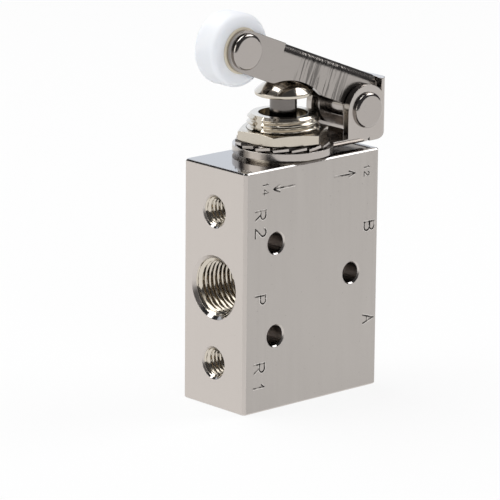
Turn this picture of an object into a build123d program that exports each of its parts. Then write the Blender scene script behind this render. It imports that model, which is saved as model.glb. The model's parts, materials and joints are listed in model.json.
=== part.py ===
from build123d import *
import os
from math import asin, cos, degrees, radians, sin, sqrt, tan

os.makedirs("parts", exist_ok=True)

# Roller lever air valve with five ports and two positions, in millimetres.
# The origin is the middle of the block's bottom face. Z runs up the spool's axis,
# -X faces the supply port, +X faces the lever's pivot and -Y is the marked broad face.

# Valve block
block_width = 30.0
block_thickness = 15.0
block_height = 40.5
upright_corner_break = 0.5
face_edge_break = 0.25

# Ports: supply between two exhausts on the -X end, two outlets on the +X end.
# The offsets are from the middle of the block's height, where the supply port is.
exhaust_offset = 12.75
outlet_offset = 7.5
main_thread_radius = 4.865
main_thread_depth = 9.5
main_countersink_margin = 0.535
small_thread_radius = 2.5
small_thread_depth = 5.5
small_countersink_margin = 0.3
countersink_angle = 90.0
passage_radius = 1.6

# Fixing holes through the block's thickness
fixing_hole_radius = 1.7
fixing_countersink_margin = 0.25
fixing_pair_x = -8.15
fixing_pair_offset = 7.8
fixing_single_x = 8.7

# Spool, its seals and its bore
spool_bore_radius = 4.0
port_groove_depth = 0.7
port_groove_margin = 0.1
spool_waist_radius = 2.3
spool_seal_section = 0.5
spool_land_width = 0.5
stroke = 2.4

# Gland with its threaded neck, which carries the bracket
gland_shank_radius = 5.0
gland_shank_length = 4.5
gland_collar_width = 1.0
gland_collar_thickness = 0.5
neck_radius = 6.0
neck_length = 6.4
neck_chamfer = 0.65
neck_mouth_radius = 4.1
neck_mouth_depth = 1.5
key_width = 2.0
key_depth = 0.7
gland_seal_section = 0.5
gland_seal_rise = 1.2
rod_seal_section = 0.75
rod_seal_rise = 3.0

# Plunger and mushroom button
rod_radius = 2.25
plunger_foot_radius = 3.5
plunger_foot_thickness = 1.0
button_rest_gap = 0.6
button_radius = 4.75
button_rim_thickness = 0.6
button_rim_round = 0.22
button_crown_height = 2.25
spigot_radius = 1.5
spigot_length = 1.6

# Bottom plug and return spring
plug_radius = 5.0
plug_thickness = 3.9
plug_seal_section = 0.5
plug_seal_rise = 2.6
spanner_hole_radius = 0.75
spanner_hole_offset = 3.2
spanner_hole_depth = 1.2
spring_spigot_radius = 2.0
spring_spigot_length = 0.7
spring_wire_radius = 0.3
spring_turns = 5.0

# Folded bracket
bracket_sheet = 1.2
bracket_ring_margin = 0.55
pivot_x = 14.2
pivot_drop = 6.65
ear_radius = 4.25
wall_above_pivot = 4.9
wall_bend_radius = 1.6
fold_radius = 1.2
ear_corner_radius = 2.7
ear_foot_rise = 0.3
plate_behind_pivot = 0.65

# Washer and nut on the neck
lock_washer_radius = 7.8
lock_washer_sheet = 0.45
lock_washer_height = 0.8
lock_washer_rim = 0.75
tooth_count = 16
tooth_width = 2.6
nut_across_flats = 13.5
nut_height = 1.85
nut_turn = 35.5
nut_face_margin = 0.05
nut_chamfer_angle = 12.0

# Folded lever, measured along and square to its web, from the pivot
lever_angle = 21.46
lever_sheet = 0.9
lever_half_width = 3.7
lever_bend_radius = 1.6
arm_height = 6.9
roller_reach = 28.75
notch_radius = 12.5
notch_lean = 9.4
notch_front_depth = 1.77
notch_rear_depth = 1.05
notch_blend = 2.5
boss_radius = 3.45
boss_blend = 1.0

# Rivets, roller and its thin washers
rivet_radius = 2.0
rivet_head_radius = 3.0
rivet_head_thickness = 0.8
rivet_head_round = 0.6
peened_radius = 2.7
peened_thickness = 0.7
peened_round = 0.4
roller_radius = 6.05
roller_edge_round = 0.9
roller_washer_radius = 3.8
roller_washer_thickness = 0.2

# Clearances
seat_clearance = 0.02
running_clearance = 0.05
stop_clearance = 0.1
thread_clearance = 0.05
ear_clearance = 0.2
wall_clearance = 0.2
button_clearance = 0.08
roller_clearance = 1.9

# Heights and places that follow from the sizes above
supply_z = block_height / 2
exhaust_1_z = supply_z - exhaust_offset
exhaust_2_z = supply_z + exhaust_offset
outlet_a_z = supply_z - outlet_offset
outlet_b_z = supply_z + outlet_offset
fixing_low_z = supply_z - fixing_pair_offset
fixing_high_z = supply_z + fixing_pair_offset
groove_half = passage_radius + port_groove_margin
gland_seat_z = block_height - gland_shank_length
collar_top_z = block_height + gland_collar_thickness
neck_top_z = collar_top_z + neck_length
bracket_top_z = collar_top_z + bracket_sheet
nut_base_z = bracket_top_z + lock_washer_height
nut_corner_radius = nut_across_flats / 2 / cos(radians(30))
bracket_ring_radius = nut_corner_radius + bracket_ring_margin
button_base_z = neck_top_z + stroke + button_rest_gap
rim_top_z = button_base_z + button_rim_thickness
crown_z = rim_top_z + button_crown_height
pivot_z = crown_z - pivot_drop
wall_inner_x = pivot_x + boss_radius + wall_clearance
wall_outer_x = wall_inner_x + bracket_sheet
ear_inner_y = lever_half_width + ear_clearance
ear_outer_y = ear_inner_y + bracket_sheet

# Heights of the spool's four seals, from the top, with the button not pressed.
# The first and the last cross from a land of the bore to a port groove, and back.
seal_heights = [
    (exhaust_2_z + outlet_b_z) / 2,
    outlet_b_z,
    outlet_a_z + stroke,
    (outlet_a_z + exhaust_1_z) / 2 + stroke,
]
spool_seal_mean = spool_bore_radius - seat_clearance - spool_seal_section
seal_groove_half = spool_seal_section + running_clearance
spool_end_margin = seal_groove_half + spool_land_width
spool_top_z = seal_heights[0] + spool_end_margin
spool_bottom_z = seal_heights[-1] - spool_end_margin


def band(inner, outer, low, high, mode=Mode.ADD):
    """Rectangle of a half section, between two radii and two heights."""
    with Locations((inner, low)):
        Rectangle(outer - inner, high - low, align=(Align.MIN, Align.MIN), mode=mode)


def save(part, label):
    """Name a finished piece and write it to its own file."""
    part.label = label
    export_step(part, f"parts/{label}.step")


def o_ring(label, mean_radius, section_radius, height):
    """Ring of round section, lying flat around the spool's axis."""
    with BuildPart() as ring:
        with BuildSketch(Plane.XZ):
            with Locations((mean_radius, height)):
                Circle(section_radius)
        revolve(axis=Axis.Z)
    save(ring.part, label)


# Block, bored for the spool and drilled for its ports and fixing holes
with BuildPart() as body:
    with BuildSketch(Plane.XY):
        Rectangle(block_width, block_thickness)
    extrude(amount=block_height)
    chamfer(body.edges().filter_by(Axis.Z), upright_corner_break)
    flat_ends = body.faces().filter_by(Axis.Z)
    chamfer(flat_ends.edges(), face_edge_break)
    with BuildSketch(Plane.XZ):
        band(0, plug_radius, 0, plug_thickness)
        band(0, spool_bore_radius, plug_thickness, gland_seat_z)
        band(0, gland_shank_radius, gland_seat_z, block_height)
        for port_z in (exhaust_1_z, outlet_a_z, supply_z, outlet_b_z, exhaust_2_z):
            groove_radius = spool_bore_radius + port_groove_depth
            band(0, groove_radius, port_z - groove_half, port_z + groove_half)
    revolve(axis=Axis.Z, mode=Mode.SUBTRACT)

    supply_end = Plane(origin=(-block_width / 2, 0, 0), x_dir=(0, -1, 0), z_dir=(-1, 0, 0))
    outlet_end = Plane(origin=(block_width / 2, 0, 0), x_dir=(0, 1, 0), z_dir=(1, 0, 0))
    with Locations(supply_end):
        with Locations((0, supply_z)):
            CounterSinkHole(main_thread_radius, main_thread_radius + main_countersink_margin,
                            main_thread_depth, countersink_angle)
        with Locations((0, exhaust_1_z), (0, exhaust_2_z)):
            CounterSinkHole(small_thread_radius, small_thread_radius + small_countersink_margin,
                            small_thread_depth, countersink_angle)
        with Locations((0, exhaust_1_z), (0, supply_z), (0, exhaust_2_z)):
            Hole(passage_radius, block_width / 2)
    with Locations(outlet_end):
        with Locations((0, outlet_a_z), (0, outlet_b_z)):
            CounterSinkHole(main_thread_radius, main_thread_radius + main_countersink_margin,
                            main_thread_depth, countersink_angle)
        with Locations((0, outlet_a_z), (0, outlet_b_z)):
            Hole(passage_radius, block_width / 2)
    marked_face = Plane(origin=(0, -block_thickness / 2, 0), x_dir=(1, 0, 0), z_dir=(0, -1, 0))
    rear_face = Plane(origin=(0, block_thickness / 2, 0), x_dir=(-1, 0, 0), z_dir=(0, 1, 0))
    for face, side in ((marked_face, 1), (rear_face, -1)):
        with Locations(face):
            with Locations((side * fixing_pair_x, fixing_low_z), (side * fixing_pair_x, fixing_high_z),
                           (side * fixing_single_x, supply_z)):
                CounterSinkHole(fixing_hole_radius, fixing_hole_radius + fixing_countersink_margin,
                                block_thickness / 2, countersink_angle)
save(body.part, "body")

# Gland: shank in the block, collar under the bracket, threaded neck above
with BuildPart() as gland:
    shank_radius = gland_shank_radius - seat_clearance
    gland_seal_z = gland_seat_z + gland_seal_rise
    gland_seal_mean = shank_radius - gland_seal_section
    rod_seal_z = gland_seat_z + rod_seal_rise
    rod_seal_mean = rod_radius + seat_clearance + rod_seal_section
    with BuildSketch(Plane.XZ):
        band(0, shank_radius, gland_seat_z, block_height)
        band(0, neck_radius + gland_collar_width, block_height, collar_top_z)
        band(0, neck_radius, collar_top_z, neck_top_z)
        gland_groove_half = gland_seal_section + running_clearance
        groove_floor = gland_seal_mean - gland_seal_section - seat_clearance
        band(groove_floor, gland_shank_radius, gland_seal_z - gland_groove_half,
             gland_seal_z + gland_groove_half, mode=Mode.SUBTRACT)
    revolve(axis=Axis.Z)
    neck_rim = gland.edges().filter_by(GeomType.CIRCLE).group_by(Axis.Z)[-1]
    chamfer(neck_rim, neck_chamfer)
    with BuildSketch(Plane.XZ):
        band(0, rod_radius + running_clearance, gland_seat_z, neck_top_z)
        band(0, neck_mouth_radius, neck_top_z - neck_mouth_depth, neck_top_z)
        rod_groove_half = rod_seal_section + running_clearance
        band(0, rod_seal_mean + rod_seal_section + seat_clearance,
             rod_seal_z - rod_groove_half, rod_seal_z + rod_groove_half)
    revolve(axis=Axis.Z, mode=Mode.SUBTRACT)
    with BuildSketch(Plane.XY.offset(collar_top_z)):
        with Locations((-neck_radius, 0)):
            Rectangle(2 * key_depth, key_width)
    extrude(amount=neck_length, mode=Mode.SUBTRACT)
save(gland.part, "gland")

o_ring("gland_o_ring", gland_seal_mean, gland_seal_section, gland_seal_z)
o_ring("rod_seal", rod_seal_mean, rod_seal_section, rod_seal_z)

# Spool, with a land on each side of every seal
with BuildPart() as spool:
    land_radius = spool_bore_radius - running_clearance
    groove_floor = spool_seal_mean - spool_seal_section - seat_clearance
    with BuildSketch(Plane.XZ):
        band(0, spool_waist_radius, spool_bottom_z, spool_top_z)
        for seal_z in seal_heights:
            band(0, land_radius, seal_z - spool_end_margin, seal_z + spool_end_margin)
        for seal_z in seal_heights:
            band(groove_floor, spool_bore_radius, seal_z - seal_groove_half,
                 seal_z + seal_groove_half, mode=Mode.SUBTRACT)
        band(0, spring_spigot_radius, spool_bottom_z - spring_spigot_length, spool_bottom_z)
    revolve(axis=Axis.Z)
save(spool.part, "spool")

for number, seal_z in enumerate(seal_heights, start=1):
    o_ring(f"spool_seal_{number}", spool_seal_mean, spool_seal_section, seal_z)

# Plunger: rod with a foot that stops under the gland, and a spigot for the button
with BuildPart() as plunger:
    foot_top_z = gland_seat_z - stop_clearance
    foot_bottom_z = foot_top_z - plunger_foot_thickness
    with BuildSketch(Plane.XZ):
        band(0, rod_radius, spool_top_z, button_base_z)
        band(0, plunger_foot_radius, foot_bottom_z, foot_top_z)
        band(0, spigot_radius, button_base_z, button_base_z + spigot_length)
    revolve(axis=Axis.Z)
save(plunger.part, "plunger")

# Mushroom button: thin rounded rim under a low crown, which is part of a sphere
crown_sphere = (button_radius**2 + button_crown_height**2) / (2 * button_crown_height)
with BuildPart() as button:
    half_turn = asin(button_radius / crown_sphere) / 2
    crown_mid = (crown_sphere * sin(half_turn), crown_z - crown_sphere * (1 - cos(half_turn)))
    with BuildSketch(Plane.XZ):
        with BuildLine():
            Polyline((0, crown_z), (0, button_base_z), (button_radius, button_base_z),
                     (button_radius, rim_top_z))
            ThreePointArc((button_radius, rim_top_z), crown_mid, (0, crown_z))
        make_face()
    revolve(axis=Axis.Z)
    fillet(button.edges().filter_by(GeomType.CIRCLE), button_rim_round)
    with BuildSketch(Plane.XY.offset(button_base_z)):
        Circle(spigot_radius + seat_clearance)
    extrude(amount=spigot_length + seat_clearance, mode=Mode.SUBTRACT)
save(button.part, "button")

# Plug, screwed flush into the bottom face, with two holes for a pin spanner
with BuildPart() as bottom_plug:
    plug_outer = plug_radius - seat_clearance
    plug_seal_mean = plug_outer - plug_seal_section
    plug_groove_half = plug_seal_section + running_clearance
    plug_groove_floor = plug_seal_mean - plug_seal_section - seat_clearance
    with BuildSketch(Plane.XZ):
        band(0, plug_outer, 0, plug_thickness)
        band(0, spring_spigot_radius, plug_thickness, plug_thickness + spring_spigot_length)
        band(plug_groove_floor, plug_radius, plug_seal_rise - plug_groove_half,
             plug_seal_rise + plug_groove_half, mode=Mode.SUBTRACT)
    revolve(axis=Axis.Z)
    with BuildSketch(Plane.XY):
        with PolarLocations(spanner_hole_offset, 2):
            Circle(spanner_hole_radius)
    extrude(amount=spanner_hole_depth, mode=Mode.SUBTRACT)
save(bottom_plug.part, "bottom_plug")

o_ring("plug_o_ring", plug_seal_mean, plug_seal_section, plug_seal_rise)

# Return spring between the plug and the spool
with BuildPart() as return_spring:
    spring_low_z = plug_thickness + seat_clearance + spring_wire_radius
    spring_high_z = spool_bottom_z - seat_clearance - spring_wire_radius
    spring_height = spring_high_z - spring_low_z
    coil_radius = spring_spigot_radius + running_clearance + spring_wire_radius
    with BuildLine() as coil:
        Helix(spring_height / spring_turns, spring_height, coil_radius,
              center=(0, 0, spring_low_z))
    with BuildSketch(Plane(origin=coil.line @ 0, z_dir=coil.line % 0)):
        Circle(spring_wire_radius)
    sweep()
save(return_spring.part, "return_spring")

# Bracket: ring on the neck, tab behind it, two ears folded up and a back wall between them
with BuildPart() as bracket:
    ear_front_x = pivot_x - ear_radius
    bend_start_x = wall_outer_x - wall_bend_radius
    wall_top_z = pivot_z + wall_above_pivot
    wall_rise = wall_top_z - collar_top_z
    plate_rear_x = pivot_x + plate_behind_pivot
    with BuildSketch(Plane.XY.offset(collar_top_z)) as outside:
        with Locations((ear_front_x, 0)):
            Rectangle(wall_outer_x - ear_front_x, 2 * ear_outer_y,
                      align=(Align.MIN, Align.CENTER))
        fillet(outside.vertices().group_by(Axis.X)[-1], wall_bend_radius)
    extrude(amount=wall_rise)
    with BuildSketch(Plane.XY.offset(collar_top_z)) as inside:
        with Locations((ear_front_x, 0)):
            Rectangle(wall_inner_x - ear_front_x, 2 * ear_inner_y,
                      align=(Align.MIN, Align.CENTER))
        fillet(inside.vertices().group_by(Axis.X)[-1], wall_bend_radius - bracket_sheet)
    extrude(amount=wall_rise, mode=Mode.SUBTRACT)
    with BuildSketch(Plane.XZ) as side_view:
        with Locations((pivot_x, pivot_z)):
            Circle(ear_radius)
        band(ear_front_x, plate_rear_x, collar_top_z, pivot_z)
        band(plate_rear_x, wall_outer_x, collar_top_z + ear_foot_rise, pivot_z)
        band(bend_start_x, wall_outer_x, pivot_z, wall_top_z)
        low_rear = (wall_outer_x, collar_top_z + ear_foot_rise)
        fillet(side_view.vertices().sort_by_distance(low_rear)[0], ear_corner_radius)
    extrude(amount=2 * ear_outer_y, both=True, mode=Mode.INTERSECT)
    with BuildSketch(Plane.XY.offset(collar_top_z)):
        Rectangle(plate_rear_x, 2 * ear_outer_y, align=(Align.MIN, Align.CENTER))
    extrude(amount=bracket_sheet)
    with BuildSketch(Plane.YZ):
        fold_y = ear_outer_y - fold_radius
        for side in (-1, 1):
            with Locations((side * (fold_y + fold_radius / 2), collar_top_z + fold_radius / 2)):
                Rectangle(fold_radius, fold_radius)
        with Locations((-fold_y, collar_top_z + fold_radius), (fold_y, collar_top_z + fold_radius)):
            Circle(fold_radius, mode=Mode.SUBTRACT)
    extrude(amount=plate_rear_x, mode=Mode.SUBTRACT)
    with BuildSketch(Plane.XY.offset(collar_top_z)):
        Circle(bracket_ring_radius)
    extrude(amount=bracket_sheet)
    with BuildSketch(Plane.XY.offset(collar_top_z)):
        Circle(neck_radius + running_clearance)
        with Locations((-neck_radius, 0)):
            Rectangle(2 * (key_depth - running_clearance), key_width - 2 * running_clearance,
                      mode=Mode.SUBTRACT)
    extrude(amount=bracket_sheet, mode=Mode.SUBTRACT)
    with BuildSketch(Plane.XZ):
        with Locations((pivot_x, pivot_z)):
            Circle(rivet_radius + seat_clearance)
    extrude(amount=2 * ear_outer_y, both=True, mode=Mode.SUBTRACT)
save(bracket.part, "bracket")

# Toothed lock washer: every tooth is twisted about its own radius
with BuildPart() as lock_washer:
    washer_bore = neck_radius + thread_clearance
    washer_mid_z = bracket_top_z + lock_washer_height / 2
    with BuildSketch(Plane.XY.offset(washer_mid_z)):
        Circle(washer_bore + lock_washer_rim)
        Circle(washer_bore, mode=Mode.SUBTRACT)
    extrude(amount=lock_washer_sheet / 2, both=True)
    tooth_twist = degrees(asin((lock_washer_height - lock_washer_sheet) / tooth_width))
    tooth_root = washer_bore + lock_washer_rim / 2
    for number in range(tooth_count):
        turn = radians(360 * number / tooth_count)
        tooth_plane = Plane(origin=(0, 0, washer_mid_z), x_dir=(-sin(turn), cos(turn), 0),
                            z_dir=(cos(turn), sin(turn), 0))
        with BuildSketch(tooth_plane.offset(tooth_root)):
            Rectangle(tooth_width, lock_washer_sheet, rotation=tooth_twist)
        extrude(amount=lock_washer_radius - tooth_root)
save(lock_washer.part, "lock_washer")

# Hexagon nut, its corners turned off on both faces
with BuildPart() as hex_nut:
    nut_top_z = nut_base_z + nut_height
    turned_run = nut_corner_radius - nut_across_flats / 2 + nut_face_margin
    turned_rise = turned_run * tan(radians(nut_chamfer_angle))
    with BuildSketch(Plane.XY.offset(nut_base_z)):
        RegularPolygon(nut_corner_radius, 6, rotation=nut_turn)
    extrude(amount=nut_height)
    with BuildSketch(Plane.XZ):
        with BuildLine():
            Polyline((0, nut_base_z), (nut_corner_radius - turned_run, nut_base_z),
                     (nut_corner_radius, nut_base_z + turned_rise),
                     (nut_corner_radius, nut_top_z - turned_rise),
                     (nut_corner_radius - turned_run, nut_top_z), (0, nut_top_z), close=True)
        make_face()
    revolve(axis=Axis.Z, mode=Mode.INTERSECT)
    with BuildSketch(Plane.XY.offset(nut_base_z)):
        Circle(neck_radius + thread_clearance)
    extrude(amount=nut_height, mode=Mode.SUBTRACT)
save(hex_nut.part, "hex_nut")

# Side view of the lever, from the pivot: X runs forward along the web and Y square to it
slope = radians(lever_angle)
forward = Vector(-cos(slope), 0, sin(slope))
lever_plane = Plane(origin=(pivot_x, 0, pivot_z), x_dir=forward, z_dir=(0, 1, 0))
inner_half_width = lever_half_width - lever_sheet

# The flanges' inner edges rest on the crown: the notch is a larger circle round the
# crown's own section there, set off towards the rear by the notch's lean
crown_centre = lever_plane.to_local_coords(Vector(0, 0, crown_z - crown_sphere))
crown_section = sqrt(crown_sphere**2 - inner_half_width**2)
notch_offset = notch_radius - crown_section - button_clearance
notch_reach = crown_centre.X + notch_offset * sin(radians(notch_lean))
notch_top = crown_centre.Y - notch_offset * cos(radians(notch_lean)) + notch_radius
front_edge = notch_top - notch_front_depth
rear_edge = notch_top - notch_rear_depth
web_top = front_edge + arm_height
web_front = roller_reach - roller_radius - roller_clearance
roller_offset = front_edge + arm_height / 2
web_rear = (pivot_x + web_top * sin(slope) - wall_inner_x + stop_clearance) / cos(slope)
rear_end = lever_plane.from_local_coords((web_rear, 0, 0))
rear_section = Plane(origin=rear_end, x_dir=(0, -1, 0), z_dir=forward)


def notch_half_width(edge):
    """Half width of the button notch where it leaves a lower edge of the lever."""
    depth = notch_top - edge
    return sqrt(depth * (2 * notch_radius - depth))


# Lever: channel folded down from its web, whose front part is open for the roller
with BuildPart() as lever:
    flange_drop = web_top + boss_radius
    with BuildSketch(rear_section) as channel:
        with Locations((0, web_top)):
            Rectangle(2 * lever_half_width, flange_drop, align=(Align.CENTER, Align.MAX))
        fillet(channel.vertices().group_by(Axis.Y)[-1], lever_bend_radius)
    extrude(amount=web_front - web_rear)
    with BuildSketch(rear_section.offset(web_front - web_rear)):
        with Locations((0, web_top)):
            Rectangle(2 * lever_half_width, flange_drop, align=(Align.CENTER, Align.MAX))
    extrude(amount=roller_reach + web_top - roller_offset - web_front)
    with BuildSketch(rear_section) as hollow:
        with Locations((0, web_top - lever_sheet)):
            Rectangle(2 * inner_half_width, flange_drop, align=(Align.CENTER, Align.MAX))
        fillet(hollow.vertices().group_by(Axis.Y)[-1], lever_bend_radius - lever_sheet)
    extrude(amount=web_front - web_rear, mode=Mode.SUBTRACT)
    with BuildSketch(rear_section.offset(web_front - web_rear)):
        with Locations((0, web_top)):
            Rectangle(2 * inner_half_width, flange_drop, align=(Align.CENTER, Align.MAX))
    extrude(amount=2 * roller_reach, mode=Mode.SUBTRACT)
    with BuildSketch(lever_plane) as side_view:
        band(notch_reach, roller_reach, front_edge, web_top)
        band(web_rear, notch_reach, rear_edge, web_top)
        with Locations((roller_reach, roller_offset)):
            Circle(web_top - roller_offset)
        Circle(boss_radius)
        with Locations((notch_reach, notch_top - notch_radius)):
            Circle(notch_radius, mode=Mode.SUBTRACT)
        notch_front = (notch_reach + notch_half_width(front_edge), front_edge)
        notch_rear = (notch_reach - notch_half_width(rear_edge), rear_edge)
        boss_front = (sqrt(boss_radius**2 - rear_edge**2), rear_edge)
        for corner, blend in ((notch_front, notch_blend), (notch_rear, notch_blend),
                              (boss_front, boss_blend)):
            fillet(side_view.vertices().sort_by_distance(corner)[0], blend)
    extrude(amount=lever_half_width, both=True, mode=Mode.INTERSECT)
    with BuildSketch(lever_plane):
        Circle(rivet_radius + running_clearance)
        with Locations((roller_reach, roller_offset)):
            Circle(rivet_radius + seat_clearance)
    extrude(amount=lever_half_width, both=True, mode=Mode.SUBTRACT)
save(lever.part, "lever")


def rivet(label, axis_x, axis_z, half_grip):
    """Rivet along Y: turned head on the -Y side, peened head on the +Y side."""
    with BuildPart() as pin:
        near = Plane(origin=(axis_x, -half_grip, axis_z), z_dir=(0, -1, 0))
        far = Plane(origin=(axis_x, half_grip, axis_z), z_dir=(0, 1, 0))
        with BuildSketch(near):
            Circle(rivet_head_radius)
        extrude(amount=rivet_head_thickness)
        fillet(pin.edges().sort_by(Axis.Y)[0], rivet_head_round)
        with BuildSketch(far):
            Circle(peened_radius)
        extrude(amount=peened_thickness)
        fillet(pin.edges().sort_by(Axis.Y)[-1], peened_round)
        with BuildSketch(near):
            Circle(rivet_radius)
        extrude(amount=-2 * half_grip)
    save(pin.part, label)


roller_centre = lever_plane.from_local_coords((roller_reach, roller_offset, 0))
rivet("pivot_pin", pivot_x, pivot_z, ear_outer_y)
rivet("roller_pin", roller_centre.X, roller_centre.Z, lever_half_width)

# Roller between the two arms, with a thin washer on each side of it
washer_outer_y = inner_half_width - running_clearance
washer_inner_y = washer_outer_y - roller_washer_thickness
with BuildPart() as roller:
    roller_plane = Plane(origin=roller_centre, z_dir=(0, 1, 0))
    with BuildSketch(roller_plane):
        Circle(roller_radius)
    extrude(amount=washer_inner_y - running_clearance, both=True)
    fillet(roller.edges().filter_by(GeomType.CIRCLE), roller_edge_round)
    with BuildSketch(roller_plane):
        Circle(rivet_radius + running_clearance)
    extrude(amount=washer_outer_y, both=True, mode=Mode.SUBTRACT)
save(roller.part, "roller")

for label, side in (("roller_washer_near", -1), ("roller_washer_far", 1)):
    with BuildPart() as roller_washer:
        seat = Plane(origin=roller_centre + (0, side * washer_inner_y, 0), z_dir=(0, side, 0))
        with BuildSketch(seat):
            Circle(roller_washer_radius)
            Circle(rivet_radius + running_clearance, mode=Mode.SUBTRACT)
        extrude(amount=roller_washer_thickness)
    save(roller_washer.part, label)
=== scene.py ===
import json
from math import asin, ceil, cos, pi, radians, sin

import bmesh
import bpy
from mathutils import Matrix, Vector


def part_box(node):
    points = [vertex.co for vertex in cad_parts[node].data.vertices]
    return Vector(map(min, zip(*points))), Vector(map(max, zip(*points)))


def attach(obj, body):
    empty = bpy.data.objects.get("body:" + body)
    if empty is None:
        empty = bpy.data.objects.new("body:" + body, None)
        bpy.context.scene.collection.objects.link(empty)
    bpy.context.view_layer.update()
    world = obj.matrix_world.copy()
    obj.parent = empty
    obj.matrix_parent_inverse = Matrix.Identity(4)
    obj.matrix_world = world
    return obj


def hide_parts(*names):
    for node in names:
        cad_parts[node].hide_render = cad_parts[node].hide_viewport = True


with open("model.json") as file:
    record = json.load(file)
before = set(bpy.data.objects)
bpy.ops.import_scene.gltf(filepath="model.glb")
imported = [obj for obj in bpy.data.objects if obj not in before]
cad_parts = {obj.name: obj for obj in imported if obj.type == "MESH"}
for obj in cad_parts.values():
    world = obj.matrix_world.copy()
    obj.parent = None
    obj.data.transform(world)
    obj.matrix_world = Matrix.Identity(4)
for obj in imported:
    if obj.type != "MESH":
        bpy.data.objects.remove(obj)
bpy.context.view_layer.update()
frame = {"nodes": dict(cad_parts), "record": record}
nodes = frame["nodes"]
scene = bpy.context.scene

# Everything below is in metres, in the row frame. MM turns a size in millimetres into metres.
MM = 0.001

# The photograph's camera: its direction seen from the block, its distance, its sideways
# offsets from the aim point, and its focal length in pixels of a frame of 500 x 500.
CAMERA_YAW = radians(47.701)
CAMERA_PITCH = radians(14.424)
CAMERA_ROLL = radians(0.523)
CAMERA_DISTANCE = 653.9 * MM
CAMERA_RIGHT = -5.195 * MM
CAMERA_UP = 3.931 * MM
CAMERA_AIM = Vector((0, 0, 20 * MM))
FOCAL_PIXELS = 3952.7
FRAME_PIXELS = 500
SENSOR_WIDTH = 36.0

# Threads: pitch and depth of a 1/8 inch pipe thread, an M5 and an M12 x 1
PIPE_PITCH = 0.907 * MM
PIPE_DEPTH = 0.56 * MM
SMALL_PITCH = 0.8 * MM
SMALL_DEPTH = 0.43 * MM
NECK_PITCH = 1.0 * MM
NECK_DEPTH = 0.5 * MM

# Points of a skin that lie closer than this are joined
WELD_DISTANCE = 0.0002 * MM

# Block and neck, as the CAD has them
BLOCK_FACE_Y = -7.5 * MM
BLOCK_HEIGHT = 40.5 * MM
NECK_RADIUS = 6.0 * MM
KEY_HALF = 1.0 * MM
KEY_DEPTH = 0.7 * MM
LEVER_SLOPE = radians(21.46)


# Helpers for node trees
class Shader:
    """A material with a Principled shader, and short ways to add and join its nodes."""

    def __init__(self, name):
        self.material = bpy.data.materials.new(name)
        self.material.use_nodes = True
        self.tree = self.material.node_tree
        self.principled = self.tree.nodes["Principled BSDF"]
        self.coordinates = self.add("ShaderNodeTexCoord").outputs["Object"]

    def add(self, kind, **values):
        node = self.tree.nodes.new(kind)
        for key, value in values.items():
            setattr(node, key, value)
        return node

    def put(self, socket, value):
        """Sets a socket to a number or colour, or joins it to another node's output."""
        if isinstance(value, bpy.types.NodeSocket):
            self.tree.links.new(value, socket)
        else:
            socket.default_value = value

    def math(self, operation, a, b=0.0, clamp=False):
        node = self.add("ShaderNodeMath", operation=operation, use_clamp=clamp)
        self.put(node.inputs[0], a)
        self.put(node.inputs[1], b)
        return node.outputs[0]

    def scaled(self, scale, coordinates=None):
        """Coordinates times a scale for each axis, so that 1000 counts millimetres."""
        node = self.add("ShaderNodeMapping")
        self.put(node.inputs["Vector"], coordinates or self.coordinates)
        node.inputs["Scale"].default_value = scale
        return node.outputs["Vector"]

    def noise(self, scale, detail=4.0, roughness=0.55, coordinates=None):
        """Noise that varies once in 1/scale along each axis, so scale is per metre."""
        node = self.add("ShaderNodeTexNoise")
        self.put(node.inputs["Vector"], self.scaled(scale, coordinates))
        node.inputs["Scale"].default_value = 1.0
        node.inputs["Detail"].default_value = detail
        node.inputs["Roughness"].default_value = roughness
        return node.outputs["Fac"]

    def ramp(self, value, low, high, to_low=0.0, to_high=1.0):
        """Smooth step from low to high."""
        node = self.add("ShaderNodeMapRange", interpolation_type="SMOOTHSTEP")
        self.put(node.inputs["Value"], value)
        node.inputs["From Min"].default_value = low
        node.inputs["From Max"].default_value = high
        node.inputs["To Min"].default_value = to_low
        node.inputs["To Max"].default_value = to_high
        return node.outputs["Result"]

    def normal_part(self, axis):
        """One coordinate of the surface's own normal, in the object's frame."""
        parts = self.add("ShaderNodeSeparateXYZ")
        self.put(parts.inputs["Vector"], self.add("ShaderNodeTexCoord").outputs["Normal"])
        return parts.outputs[axis]

    def mix(self, share, a, b):
        node = self.add("ShaderNodeMix", data_type="RGBA")
        self.put(node.inputs["Factor"], share)
        self.put(node.inputs["A"], a)
        self.put(node.inputs["B"], b)
        return node.outputs["Result"]

    def edges(self, radius):
        """Rounded normal for sharp edges, and a mask that is 1 along them."""
        bevel = self.add("ShaderNodeBevel", samples=6)
        bevel.inputs["Radius"].default_value = radius
        flat = self.add("ShaderNodeNewGeometry").outputs["True Normal"]
        dot = self.add("ShaderNodeVectorMath", operation="DOT_PRODUCT")
        self.put(dot.inputs[0], bevel.outputs["Normal"])
        self.put(dot.inputs[1], flat)
        return bevel.outputs["Normal"], self.ramp(dot.outputs["Value"], 0.995, 0.86)

    def bump(self, height, distance, normal=None):
        node = self.add("ShaderNodeBump")
        node.inputs["Strength"].default_value = 1.0
        node.inputs["Distance"].default_value = distance
        self.put(node.inputs["Height"], height)
        if normal is not None:
            self.put(node.inputs["Normal"], normal)
        return node.outputs["Normal"]


def shade(colour, share):
    """A colour times a share, with alpha."""
    return tuple(c * share for c in colour[:3]) + (1.0,)


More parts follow.
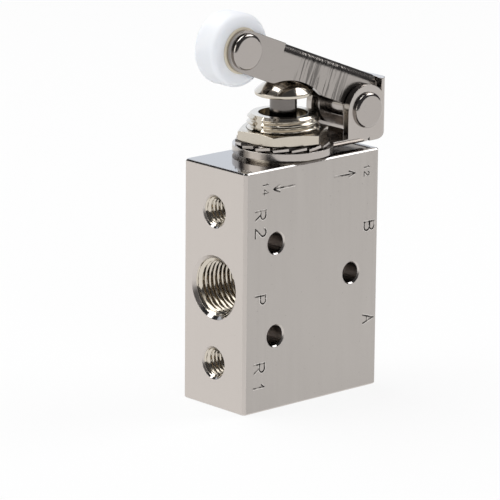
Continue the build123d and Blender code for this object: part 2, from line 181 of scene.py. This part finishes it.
def plated(name, colour, roughness, grain=(300, 300, 4000), grain_depth=0.0015, edge=0.12,
           edge_wear_and_sheen=0.25, blotch=0.06, speck=0.35):
    """Nickel plate: a metal with brushed grain, faint blotches, small specks, and edges lightened
    in colour, partly wear and partly a painted highlight.
    """
    s = Shader(name)
    s.principled.inputs["Metallic"].default_value = 1.0
    rounded, edge_mask = s.edges(edge * MM)
    brushed = s.noise(grain, detail=6.0, roughness=0.7)
    cloudy = s.noise((140, 140, 140), detail=3.0)
    fine = s.noise((2600, 2600, 2600), detail=2.0)
    specks = s.ramp(fine, 0.70, 0.78)
    tone = s.math("ADD", s.math("MULTIPLY", s.math("SUBTRACT", brushed, 0.5), blotch * 2),
                  s.math("MULTIPLY", s.math("SUBTRACT", cloudy, 0.5), blotch * 2))
    share = s.ramp(tone, -0.25, 0.25)
    body = s.mix(share, shade(colour, 1 - 2 * blotch), shade(colour, 1 + 2 * blotch))
    dulled = s.mix(s.math("MULTIPLY", specks, speck), body, shade(colour, 0.45))
    # Edges lightened in colour in broken patches: partly wear, partly a painted highlight.
    worn_and_lit_edges = s.math("MULTIPLY", edge_mask, s.ramp(s.noise((900, 900, 900)), 0.35, 0.6))
    s.put(s.principled.inputs["Base Color"],
          s.mix(s.math("MULTIPLY", worn_and_lit_edges, edge_wear_and_sheen), dulled, shade(colour, 1.35)))
    rough = s.math("ADD", s.math("MULTIPLY", s.math("SUBTRACT", brushed, 0.5), 0.25), roughness)
    s.put(s.principled.inputs["Roughness"],
          s.math("ADD", rough, s.math("MULTIPLY", specks, 0.15), clamp=True))
    s.put(s.principled.inputs["Normal"], s.bump(brushed, grain_depth * MM, rounded))
    return s


NICKEL = (0.50, 0.462, 0.432)
# Painted light: the block's nickel is NICKEL made about 1.23 times lighter, in place of the front
# fill that the metal doesn't see.
BLOCK_NICKEL_PAINTED_LIGHTER = (0.615, 0.568, 0.531)
LEVER_NICKEL = (0.375, 0.347, 0.325)
RIVET_NICKEL = (0.42, 0.388, 0.363)
WARM_NICKEL = (0.58, 0.53, 0.455)
# Painted shade: the plunger rod's steel is made nearly black, standing in for the dark surroundings
# its polished side reflects.
ROD_STEEL_PAINTED_DARK = (0.17, 0.155, 0.145)
# Painted highlight: a pale nickel for one flank of each stamped stroke.
STROKE_HIGHLIGHT_NICKEL = (0.86, 0.82, 0.78)


def block_material():
    """Satin block: brushed along its height, with painted shade on the broad faces, a painted
    bluish-grey reflection on the upward faces, and a polished top.
    """
    s = plated("block_nickel", BLOCK_NICKEL_PAINTED_LIGHTER, 0.34, grain=(2200, 2200, 60), grain_depth=0.0012,
               edge=0.15, edge_wear_and_sheen=0.5, blotch=0.03)
    upward = s.ramp(s.normal_part("Z"), 0.45, 0.65)
    sideways = s.ramp(s.math("ABSOLUTE", s.normal_part("Y")), 0.90, 0.98)
    colour = s.principled.inputs["Base Color"]
    # Painted shade: faces whose normal lies along Y (the broad faces) are darkened to about 0.82.
    tone = s.mix(sideways, (1.0, 1.0, 1.0, 1), (0.81, 0.82, 0.825, 1))
    # Painted reflection: upward faces and top chamfers take a darker bluish-grey tone.
    tone = s.mix(upward, tone, (0.56, 0.58, 0.60, 1))
    darker = s.add("ShaderNodeMix", data_type="RGBA", blend_type="MULTIPLY")
    darker.inputs["Factor"].default_value = 1.0
    s.put(darker.inputs["A"], colour.links[0].from_socket)
    s.put(darker.inputs["B"], tone)
    s.put(colour, darker.outputs["Result"])
    roughness = s.principled.inputs["Roughness"]
    s.put(roughness, s.math("MULTIPLY", roughness.links[0].from_socket,
                            s.ramp(upward, 0.0, 1.0, 1.0, 0.22)))
    return s


def lever_material():
    """Folded sheet with short scratches across the flanges, densest over the button."""
    s = plated("lever_nickel", LEVER_NICKEL, 0.20, grain=(900, 900, 900), grain_depth=0.002,
               edge=0.1, edge_wear_and_sheen=0.2, blotch=0.05)
    turned = s.add("ShaderNodeMapping")
    s.put(turned.inputs["Vector"], s.coordinates)
    turned.inputs["Rotation"].default_value = (0, -LEVER_SLOPE, 0)
    along = s.add("ShaderNodeSeparateXYZ")
    s.put(along.inputs["Vector"], turned.outputs["Vector"])
    near_end = s.ramp(along.outputs["X"], -7.0 * MM, -12.0 * MM)
    far_end = s.ramp(along.outputs["X"], -21.5 * MM, -19.5 * MM)
    on_flange = s.ramp(s.math("ABSOLUTE", s.normal_part("Y")), 0.6, 0.9)
    window = s.math("MULTIPLY", s.math("MULTIPLY", near_end, far_end), on_flange)
    lines = s.noise((1900, 300, 110), detail=3.0, roughness=0.6,
                    coordinates=turned.outputs["Vector"])
    scratch = s.math("MULTIPLY", s.ramp(lines, 0.48, 0.60), window)
    colour = s.principled.inputs["Base Color"]
    s.put(colour, s.mix(s.math("MULTIPLY", scratch, 0.8), colour.links[0].from_socket,
                        shade(LEVER_NICKEL, 0.30)))
    grained = s.principled.inputs["Normal"].links[0].from_socket
    s.put(s.principled.inputs["Normal"], s.bump(scratch, -0.02 * MM, grained))
    return s


def roller_material():
    """White acetal that lets some light through."""
    s = Shader("roller_acetal")
    p = s.principled
    rounded, _ = s.edges(0.25 * MM)
    cloudy = s.noise((220, 220, 220), detail=3.0)
    s.put(p.inputs["Base Color"], s.mix(cloudy, (0.80, 0.82, 0.86, 1), (0.86, 0.875, 0.905, 1)))
    p.inputs["Subsurface Weight"].default_value = 0.6
    p.inputs["Subsurface Radius"].default_value = (0.9, 0.95, 1.0)
    p.inputs["Subsurface Scale"].default_value = 1.2 * MM
    fine = s.noise((1500, 1500, 1500), detail=3.0)
    s.put(p.inputs["Roughness"], s.ramp(fine, 0.2, 0.8, 0.38, 0.52))
    s.put(p.inputs["Normal"], s.bump(fine, 0.004 * MM, rounded))
    return s


def plastic(name, dark, light, roughness, bump=0.004):
    """Plain moulded plastic or rubber with a little cloud and grain."""
    s = Shader(name)
    p = s.principled
    cloudy = s.noise((400, 400, 400), detail=4.0)
    fine = s.noise((3000, 3000, 3000), detail=2.0)
    s.put(p.inputs["Base Color"], s.mix(cloudy, dark, light))
    s.put(p.inputs["Roughness"], s.ramp(fine, 0.2, 0.8, roughness - 0.08, roughness + 0.08))
    s.put(p.inputs["Normal"], s.bump(fine, bump * MM))
    return s


def stamp_material():
    """Nearly black painted shade standing in for the sunken bottom of a stamped stroke, lighter in
    patches where the stamp was weak.
    """
    s = Shader("stamped_stroke_shade")
    s.principled.inputs["Metallic"].default_value = 0.8
    fine = s.noise((2400, 2400, 2400), detail=3.0)
    weak = s.ramp(s.noise((1100, 1100, 1100), detail=2.0), 0.44, 0.62)
    s.put(s.principled.inputs["Base Color"],
          s.mix(weak, (0.055, 0.05, 0.046, 1), (0.42, 0.39, 0.365, 1)))
    s.put(s.principled.inputs["Roughness"], s.ramp(fine, 0.2, 0.8, 0.35, 0.6))
    s.put(s.principled.inputs["Normal"], s.bump(fine, 0.02 * MM))
    return s


materials = {
    "block": block_material(),
    "polished": plated("polished_nickel", WARM_NICKEL, 0.16, grain=(200, 200, 5000),
                       grain_depth=0.001, edge=0.08),
    "button": plated("button_nickel", WARM_NICKEL, 0.13, grain=(300, 300, 3000),
                     grain_depth=0.0006, edge=0.1),
    "nut": plated("nut_nickel", WARM_NICKEL, 0.2, grain=(900, 900, 300), grain_depth=0.002,
                  edge=0.14, edge_wear_and_sheen=0.5),
    "washer": plated("washer_nickel", NICKEL, 0.24, grain=(900, 900, 900), edge=0.08),
    "bracket": plated("bracket_nickel", shade(NICKEL, 0.93), 0.18, grain=(700, 700, 700),
                      edge=0.12, edge_wear_and_sheen=0.2, blotch=0.05),
    "lever": lever_material(),
    "rivet": plated("rivet_nickel", RIVET_NICKEL, 0.16, grain=(700, 700, 700), edge=0.1,
                    edge_wear_and_sheen=0.2, blotch=0.06),
    "roller": roller_material(),
    "thin_washer": plastic("cream_nylon", (0.68, 0.61, 0.48, 1), (0.78, 0.71, 0.58, 1), 0.45),
    "seal": plastic("black_nitrile", (0.012, 0.012, 0.012, 1), (0.03, 0.03, 0.03, 1), 0.5),
    "spool": plated("spool_aluminium", (0.70, 0.70, 0.70), 0.3, grain=(200, 200, 4000)),
    "plug": plated("plug_nickel", NICKEL, 0.3, grain=(2000, 2000, 200)),
    "spring": plated("spring_steel", (0.42, 0.42, 0.42), 0.3, grain=(2000, 2000, 2000)),
}
for subpart in frame["record"]["subparts"]:
    node = nodes[subpart["node"]]
    node.data.materials.clear()
    node.data.materials.append(materials[subpart["material_slot"]].material)
thread_nickel = plated("thread_nickel", shade(WARM_NICKEL, 1.1), 0.13, grain=(900, 900, 900),
                       edge=0.05, edge_wear_and_sheen=0.3)
# Painted shade: the plunger takes the nearly black rod finish.
rod_painted_dark = plated("rod_painted_dark", ROD_STEEL_PAINTED_DARK, 0.14, grain=(400, 400, 2500), blotch=0.12)
nodes["plunger"].data.materials[0] = rod_painted_dark.material


# Helpers for meshes
def piece_from_rings(name, rings, slot, body, *finishes):
    """Closed skin through rings of as many points each: round the ring and round the set."""
    mesh = bpy.data.meshes.new(name)
    count = len(rings[0])
    vertices = [point for ring in rings for point in ring]
    faces = []
    for i in range(len(rings)):
        following = (i + 1) % len(rings)
        for j in range(count):
            k = (j + 1) % count
            faces.append((i * count + j, following * count + j,
                          following * count + k, i * count + k))
    mesh.from_pydata(vertices, [], faces)
    return finished_piece(name, mesh, slot, body, *finishes)


def finished_piece(name, mesh, slot, body, *finishes):
    """Turns a mesh into a piece that rides on a body and takes its finish from a slot."""
    welded = bmesh.new()
    welded.from_mesh(mesh)
    bmesh.ops.remove_doubles(welded, verts=welded.verts, dist=WELD_DISTANCE)
    bmesh.ops.recalc_face_normals(welded, faces=welded.faces)
    welded.to_mesh(mesh)
    welded.free()
    for finish in finishes or (materials[slot].material,):
        mesh.materials.append(finish)
    mesh.polygons.foreach_set("use_smooth", [True] * len(mesh.polygons))
    mesh.set_sharp_from_angle(angle=radians(32))
    piece = bpy.data.objects.new(name, mesh)
    scene.collection.objects.link(piece)
    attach(piece, body)
    return piece


def thread_wave(turns, flat=0.12):
    """Depth of a V thread, 0 at its crest and 1 at its root, after that many pitches."""
    phase = abs((turns % 1.0) * 2 - 1)
    return min(1.0, max(0.0, (phase - flat) / (1 - 2 * flat)))


def internal_thread(name, mouth, direction, bore, countersink, length, pitch, depth,
                    around=72, per_pitch=10):
    """Threaded lining of a bore along X: crests cut back by the countersink at the mouth."""
    skin = 0.03 * MM
    rings = []
    stations = ceil(length / pitch * per_pitch)
    for j in range(around):
        angle = 2 * pi * j / around
        ring = []
        for i in range(stations + 1):
            along = countersink + (length - countersink) * i / stations
            root = bore - skin
            radius = root - depth * (1 - thread_wave(along / pitch + angle / (2 * pi)))
            cone = bore + countersink - along
            runout = max(0.0, (along - length) / pitch + 1)
            radius = min(max(radius, cone) + runout * depth, root)
            ring.append((along, radius))
        ring.append((length, bore + skin))
        ring.append((countersink, bore + skin))
        rings.append([(mouth[0] - direction * a, mouth[1] + r * cos(angle),
                       mouth[2] + r * sin(angle)) for a, r in ring])
    return piece_from_rings(name, rings, "block", "housing", thread_nickel.material)


# Threads of the ports
low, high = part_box("body")
supply_height = BLOCK_HEIGHT / 2
MAIN_BORE, MAIN_COUNTERSINK, MAIN_LENGTH = 4.865 * MM, 0.535 * MM, 9.0 * MM
SMALL_BORE, SMALL_COUNTERSINK, SMALL_LENGTH = 2.5 * MM, 0.3 * MM, 5.2 * MM
EXHAUST_OFFSET, OUTLET_OFFSET = 12.75 * MM, 7.5 * MM

internal_thread("thread_supply", (low.x, 0, supply_height), -1, MAIN_BORE, MAIN_COUNTERSINK,
                MAIN_LENGTH, PIPE_PITCH, PIPE_DEPTH)
for number, side in ((1, -1), (2, 1)):
    internal_thread(f"thread_exhaust_{number}", (low.x, 0, supply_height + side * EXHAUST_OFFSET),
                    -1, SMALL_BORE, SMALL_COUNTERSINK, SMALL_LENGTH, SMALL_PITCH, SMALL_DEPTH,
                    around=56)
    internal_thread(f"thread_outlet_{number}", (high.x, 0, supply_height + side * OUTLET_OFFSET),
                    1, MAIN_BORE, MAIN_COUNTERSINK, MAIN_LENGTH, PIPE_PITCH, PIPE_DEPTH)


# Threaded neck
def gland_section(angle):
    """Closed section of the gland at an angle round its axis, as (radius, height) pairs."""
    gland_low, gland_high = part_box("gland")
    ring_low, ring_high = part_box("gland_o_ring")
    seal_low, seal_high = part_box("rod_seal")
    bracket_low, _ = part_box("bracket")
    gap, slack, chamfer = 0.02 * MM, 0.05 * MM, 0.65 * MM
    shank, collar = 4.98 * MM, 7.0 * MM
    bore, mouth, mouth_depth = 2.3 * MM, 4.1 * MM, 1.5 * MM
    top, base, seat = gland_high.z, bracket_low.z, BLOCK_HEIGHT
    groove = shank - (ring_high.z - ring_low.z) - gap
    section = [(bore, gland_low.z), (shank, gland_low.z), (shank, ring_low.z - slack),
               (groove, ring_low.z - slack), (groove, ring_high.z + slack),
               (shank, ring_high.z + slack), (shank, seat), (collar, seat), (collar, base)]
    stations = 110
    for i in range(stations + 1):
        height = base + (top - base) * i / stations
        wave = thread_wave((height - base) / NECK_PITCH - angle / (2 * pi))
        radius = NECK_RADIUS - NECK_DEPTH * wave
        radius = min(radius, NECK_RADIUS - chamfer + (top - height))
        if cos(angle) < 0 and abs(sin(angle) * NECK_RADIUS) < KEY_HALF:
            radius = min(radius, (NECK_RADIUS - KEY_DEPTH) / -cos(angle))
        section.append((radius, height))
    seal_outer = seal_high.x + gap
    section += [(mouth, top), (mouth, top - mouth_depth), (bore, top - mouth_depth),
                (bore, seal_high.z + slack), (seal_outer, seal_high.z + slack),
                (seal_outer, seal_low.z - slack), (bore, seal_low.z - slack)]
    return section


def gland_angles(around=120):
    """Even angles round the gland, with close pairs at the two edges of its key slot."""
    key_edge, close = asin(KEY_HALF / NECK_RADIUS), 0.004
    angles = [2 * pi * j / around for j in range(around)]
    for edge in (pi - key_edge, pi + key_edge):
        angles += [edge - close, edge + close]
    return sorted(angles)


neck = piece_from_rings(
    "threaded_gland",
    [[(r * cos(a), r * sin(a), h) for r, h in gland_section(a)] for a in gland_angles()],
    "polished", "housing")
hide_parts("gland")


# Stamped marks
STROKE_WIDTH = 0.36 * MM
SMALL_STROKE_WIDTH = 0.24 * MM
STAMP_RISE = 0.012 * MM
STAMP_CLEARANCE = 0.001 * MM
GLYPH_WIDTH, GLYPH_HEIGHT = 1.5 * MM, 2.3 * MM
SMALL_GLYPH_WIDTH, SMALL_GLYPH_HEIGHT = 0.75 * MM, 1.15 * MM
ARROW_LENGTH, ARROW_HEIGHT, ARROW_Z = 4.6 * MM, 1.5 * MM, 37.1 * MM


def arc_points(centre, radii, start, end, steps=7):
    return [(centre[0] + radii[0] * cos(radians(start + (end - start) * i / steps)),
             centre[1] + radii[1] * sin(radians(start + (end - start) * i / steps)))
            for i in range(steps + 1)]


# Strokes of each mark in a box one unit wide and one unit high
GLYPHS = {
    "A": [[(0, 0), (0.5, 1), (1, 0)], [(0.2, 0.38), (0.8, 0.38)]],
    "B": [[(0, 0), (0, 1)],
          [(0, 1), *arc_points((0.55, 0.77), (0.4, 0.23), 90, -90), (0, 0.54)],
          [(0, 0.54), *arc_points((0.6, 0.27), (0.4, 0.27), 90, -90), (0, 0)]],
    "P": [[(0, 0), (0, 1)], [(0, 1), *arc_points((0.55, 0.74), (0.42, 0.26), 90, -90), (0, 0.48)]],
    "R": [[(0, 0), (0, 1)], [(0, 1), *arc_points((0.55, 0.74), (0.42, 0.26), 90, -90), (0, 0.48)],
          [(0.5, 0.48), (1, 0)]],
    "1": [[(0.25, 0.78), (0.55, 1), (0.55, 0)]],
    "4": [[(0.7, 0), (0.7, 1), (0, 0.3), (1, 0.3)]],
    "2": [[*arc_points((0.5, 0.72), (0.45, 0.28), 165, -40), (0.05, 0), (1, 0)]],
    "arrow": [[(0, 0.5), (1, 0.5)], [(0.72, 0.85), (1, 0.5), (0.72, 0.15)]],
}


stamped = stamp_material().material
# Painted highlight: pale finish for one flank of each stroke.
stroke_highlight = plated("stroke_highlight", STROKE_HIGHLIGHT_NICKEL, 0.3, grain=(2000, 2000, 2000)).material


def stamped_mark(name, glyph, centre, right, up, width, height, stroke):
    """Stamped strokes on the broad face: right and up are unit directions there, as (x, z)."""
    mesh = bpy.data.meshes.new(name)
    vertices, faces = [], []

    def on_face(u, v):
        x = centre[0] + (u - 0.5) * width * right[0] + (v - 0.5) * height * up[0]
        z = centre[1] + (u - 0.5) * width * right[1] + (v - 0.5) * height * up[1]
        return Vector((x, z))

    for line in GLYPHS[glyph]:
        points = [on_face(u, v) for u, v in line]
        for a, b in zip(points, points[1:]):
            along = (b - a).normalized()
            side = Vector((-along.y, along.x)) * stroke / 2
            cap = along * stroke * 0.35
            base = len(vertices)
            for end in (a - cap, b + cap):
                for share, rise in ((-1, 0.0), (-0.55, 1.0), (0.55, 1.0), (1, 0.0)):
                    spot = end + side * share
                    depth = BLOCK_FACE_Y - STAMP_RISE * rise - STAMP_CLEARANCE
                    vertices.append((spot.x, depth, spot.y))
            for k in range(3):
                faces.append((base + k, base + k + 1, base + 5 + k, base + 4 + k))
    mesh.from_pydata(vertices, [], faces)
    # The first two strips of each stroke take its painted shade, the last flank the painted
    # highlight.
    mesh.polygons.foreach_set("material_index", [0, 0, 1] * (len(faces) // 3))
    finished_piece(name, mesh, "block", "housing", stamped, stroke_highlight)


DOWN = (0.0, -1.0)
TOWARDS_OUTLETS = (1.0, 0.0)
# Port marks read down the face, with their tops towards the outlets: name, glyph, (x, z)
PORT_MARKS = [
    ("mark_outlet_b", "B", (12.7, 27.6)), ("mark_outlet_a", "A", (12.8, 11.7)),
    ("mark_exhaust_2_r", "R", (-11.6, 33.2)), ("mark_exhaust_2_n", "2", (-11.55, 30.3)),
    ("mark_supply", "P", (-11.5, 19.0)),
    ("mark_exhaust_1_r", "R", (-11.6, 7.5)), ("mark_exhaust_1_n", "1", (-11.7, 4.3)),
]
# Numbers of the two pilot ends, beside the arrows
PILOT_MARKS = [
    ("mark_pilot_1_n", "1", (-10.6, 38.1)), ("mark_pilot_1_m", "4", (-10.6, 36.9)),
    ("mark_pilot_2_n", "1", (12.0, 37.7)), ("mark_pilot_2_m", "2", (12.0, 36.6)),
]
ARROWS = [("mark_flow_left", -1, -6.5), ("mark_flow_right", 1, 7.0)]

for name, glyph, (x, z) in PORT_MARKS:
    stamped_mark(name, glyph, (x * MM, z * MM), DOWN, TOWARDS_OUTLETS,
                 GLYPH_WIDTH, GLYPH_HEIGHT, STROKE_WIDTH)
for name, glyph, (x, z) in PILOT_MARKS:
    stamped_mark(name, glyph, (x * MM, z * MM), DOWN, TOWARDS_OUTLETS,
                 SMALL_GLYPH_WIDTH, SMALL_GLYPH_HEIGHT, SMALL_STROKE_WIDTH)
for name, side, x in ARROWS:
    stamped_mark(name, "arrow", (x * MM, ARROW_Z), (side, 0.0), (0.0, 1.0),
                 ARROW_LENGTH, ARROW_HEIGHT, STROKE_WIDTH)


# Floor, light and camera
FLOOR_HALF = 3.0
FLOOR_DROP = 0.02 * MM
FLOOR_GLOW = 0.88
LAMP_AIM = Vector((0, 0, 30 * MM))
ROOM_COLOUR = (0.06, 0.06, 0.063, 1)
# Pale parts of the room: direction from the object, outer and inner half angles, colour
ROOM_PANELS = [
    ((0.256, 0.957, 0.139), 36, 29, (1.10, 1.17, 1.28, 1)),
    ((-0.90, 0.35, 0.20), 34, 22, (0.95, 0.93, 0.88, 1)),
]


def floor_and_backdrop():
    """Large pale floor. The camera and mirrors see it nearly white, with the shadow left in."""
    mesh = bpy.data.meshes.new("floor")
    corners = [(x * FLOOR_HALF, y * FLOOR_HALF, 0) for x, y in ((-1, -1), (1, -1), (1, 1), (-1, 1))]
    mesh.from_pydata(corners, [], [(0, 1, 2, 3)])
    floor_piece = bpy.data.objects.new("floor", mesh)
    floor_piece.location.z = -FLOOR_DROP
    scene.collection.objects.link(floor_piece)
    s = Shader("pale_floor")
    s.principled.inputs["Base Color"].default_value = (0.86, 0.86, 0.86, 1)
    s.principled.inputs["Roughness"].default_value = 0.9
    s.principled.inputs["Specular IOR Level"].default_value = 0.0
    glow = s.add("ShaderNodeEmission")
    glow.inputs["Color"].default_value = (1, 1, 1, 1)
    path = s.add("ShaderNodeLightPath")
    seen = s.math("MAXIMUM", path.outputs["Is Camera Ray"], path.outputs["Is Glossy Ray"])
    seen = s.math("MAXIMUM", seen, path.outputs["Is Transmission Ray"])
    blend = s.add("ShaderNodeMixShader")
    s.put(blend.inputs["Fac"], s.math("MULTIPLY", seen, FLOOR_GLOW))
    s.put(blend.inputs[1], s.principled.outputs["BSDF"])
    s.put(blend.inputs[2], glow.outputs["Emission"])
    s.put(s.tree.nodes["Material Output"].inputs["Surface"], blend.outputs["Shader"])
    mesh.materials.append(s.material)


def studio_world():
    """Dark room above the floor, with a pale blue backdrop behind and a pale wall at the left."""
    world = bpy.data.worlds.new("studio")
    world.use_nodes = True
    scene.world = world
    tree = world.node_tree
    background = tree.nodes["Background"]
    direction = tree.nodes.new("ShaderNodeTexCoord").outputs["Generated"]
    colour = ROOM_COLOUR
    for panel_direction, outer, inner, panel_colour in ROOM_PANELS:
        dot = tree.nodes.new("ShaderNodeVectorMath")
        dot.operation = "DOT_PRODUCT"
        tree.links.new(direction, dot.inputs[0])
        dot.inputs[1].default_value = Vector(panel_direction).normalized()
        ramp = tree.nodes.new("ShaderNodeMapRange")
        ramp.interpolation_type = "SMOOTHSTEP"
        ramp.inputs["From Min"].default_value = cos(radians(outer))
        ramp.inputs["From Max"].default_value = cos(radians(inner))
        tree.links.new(dot.outputs["Value"], ramp.inputs["Value"])
        mix = tree.nodes.new("ShaderNodeMix")
        mix.data_type = "RGBA"
        tree.links.new(ramp.outputs["Result"], mix.inputs["Factor"])
        if isinstance(colour, tuple):
            mix.inputs["A"].default_value = colour
        else:
            tree.links.new(colour, mix.inputs["A"])
        mix.inputs["B"].default_value = panel_colour
        colour = mix.outputs["Result"]
    tree.links.new(colour, background.inputs["Color"])
    background.inputs["Strength"].default_value = 1.0


def area_lamp(name, direction, distance, size, power, in_mirrors=True):
    """Square soft box that faces the object from a direction."""
    lamp = bpy.data.lights.new(name, "AREA")
    lamp.shape = "RECTANGLE"
    lamp.size, lamp.size_y = size
    lamp.energy = power
    holder = bpy.data.objects.new(name, lamp)
    towards = Vector(direction).normalized()
    holder.location = LAMP_AIM + towards * distance
    holder.rotation_mode = "QUATERNION"
    holder.rotation_quaternion = towards.to_track_quat("Z", "Y")
    holder.visible_glossy = in_mirrors
    scene.collection.objects.link(holder)


def photo_camera():
    """Camera at the photograph's angle, set from the solved values at the top."""
    back = Vector((-cos(CAMERA_PITCH) * cos(CAMERA_YAW), -cos(CAMERA_PITCH) * sin(CAMERA_YAW),
                   sin(CAMERA_PITCH)))
    level = (-back).cross(Vector((0, 0, 1))).normalized()
    upright = level.cross(-back)
    right = cos(CAMERA_ROLL) * level + sin(CAMERA_ROLL) * upright
    up = cos(CAMERA_ROLL) * upright - sin(CAMERA_ROLL) * level
    place = CAMERA_AIM + back * CAMERA_DISTANCE + right * CAMERA_RIGHT + up * CAMERA_UP
    data = bpy.data.cameras.new("photo_camera")
    data.sensor_width = SENSOR_WIDTH
    data.lens = SENSOR_WIDTH * FOCAL_PIXELS / FRAME_PIXELS
    data.clip_start, data.clip_end = 0.01, 20
    camera = bpy.data.objects.new("photo_camera", data)
    turn = Matrix((right, up, back)).transposed()
    camera.matrix_world = Matrix.Translation(place) @ turn.to_4x4()
    scene.collection.objects.link(camera)
    scene.camera = camera


floor_and_backdrop()
studio_world()
area_lamp("soft_box_right", (0.65, -0.27, 0.71), 0.75, (0.38, 0.38), 2.2)
area_lamp("soft_box_top", (-0.16, 0.42, 0.89), 0.80, (0.55, 0.55), 4.2)
area_lamp("soft_box_left", (-0.88, 0.30, 0.36), 0.90, (0.50, 0.50), 0.9)
area_lamp("front_fill", (-0.45, -0.82, 0.35), 0.90, (0.60, 0.60), 3.6, in_mirrors=False)
photo_camera()
scene.view_settings.view_transform = "Standard"
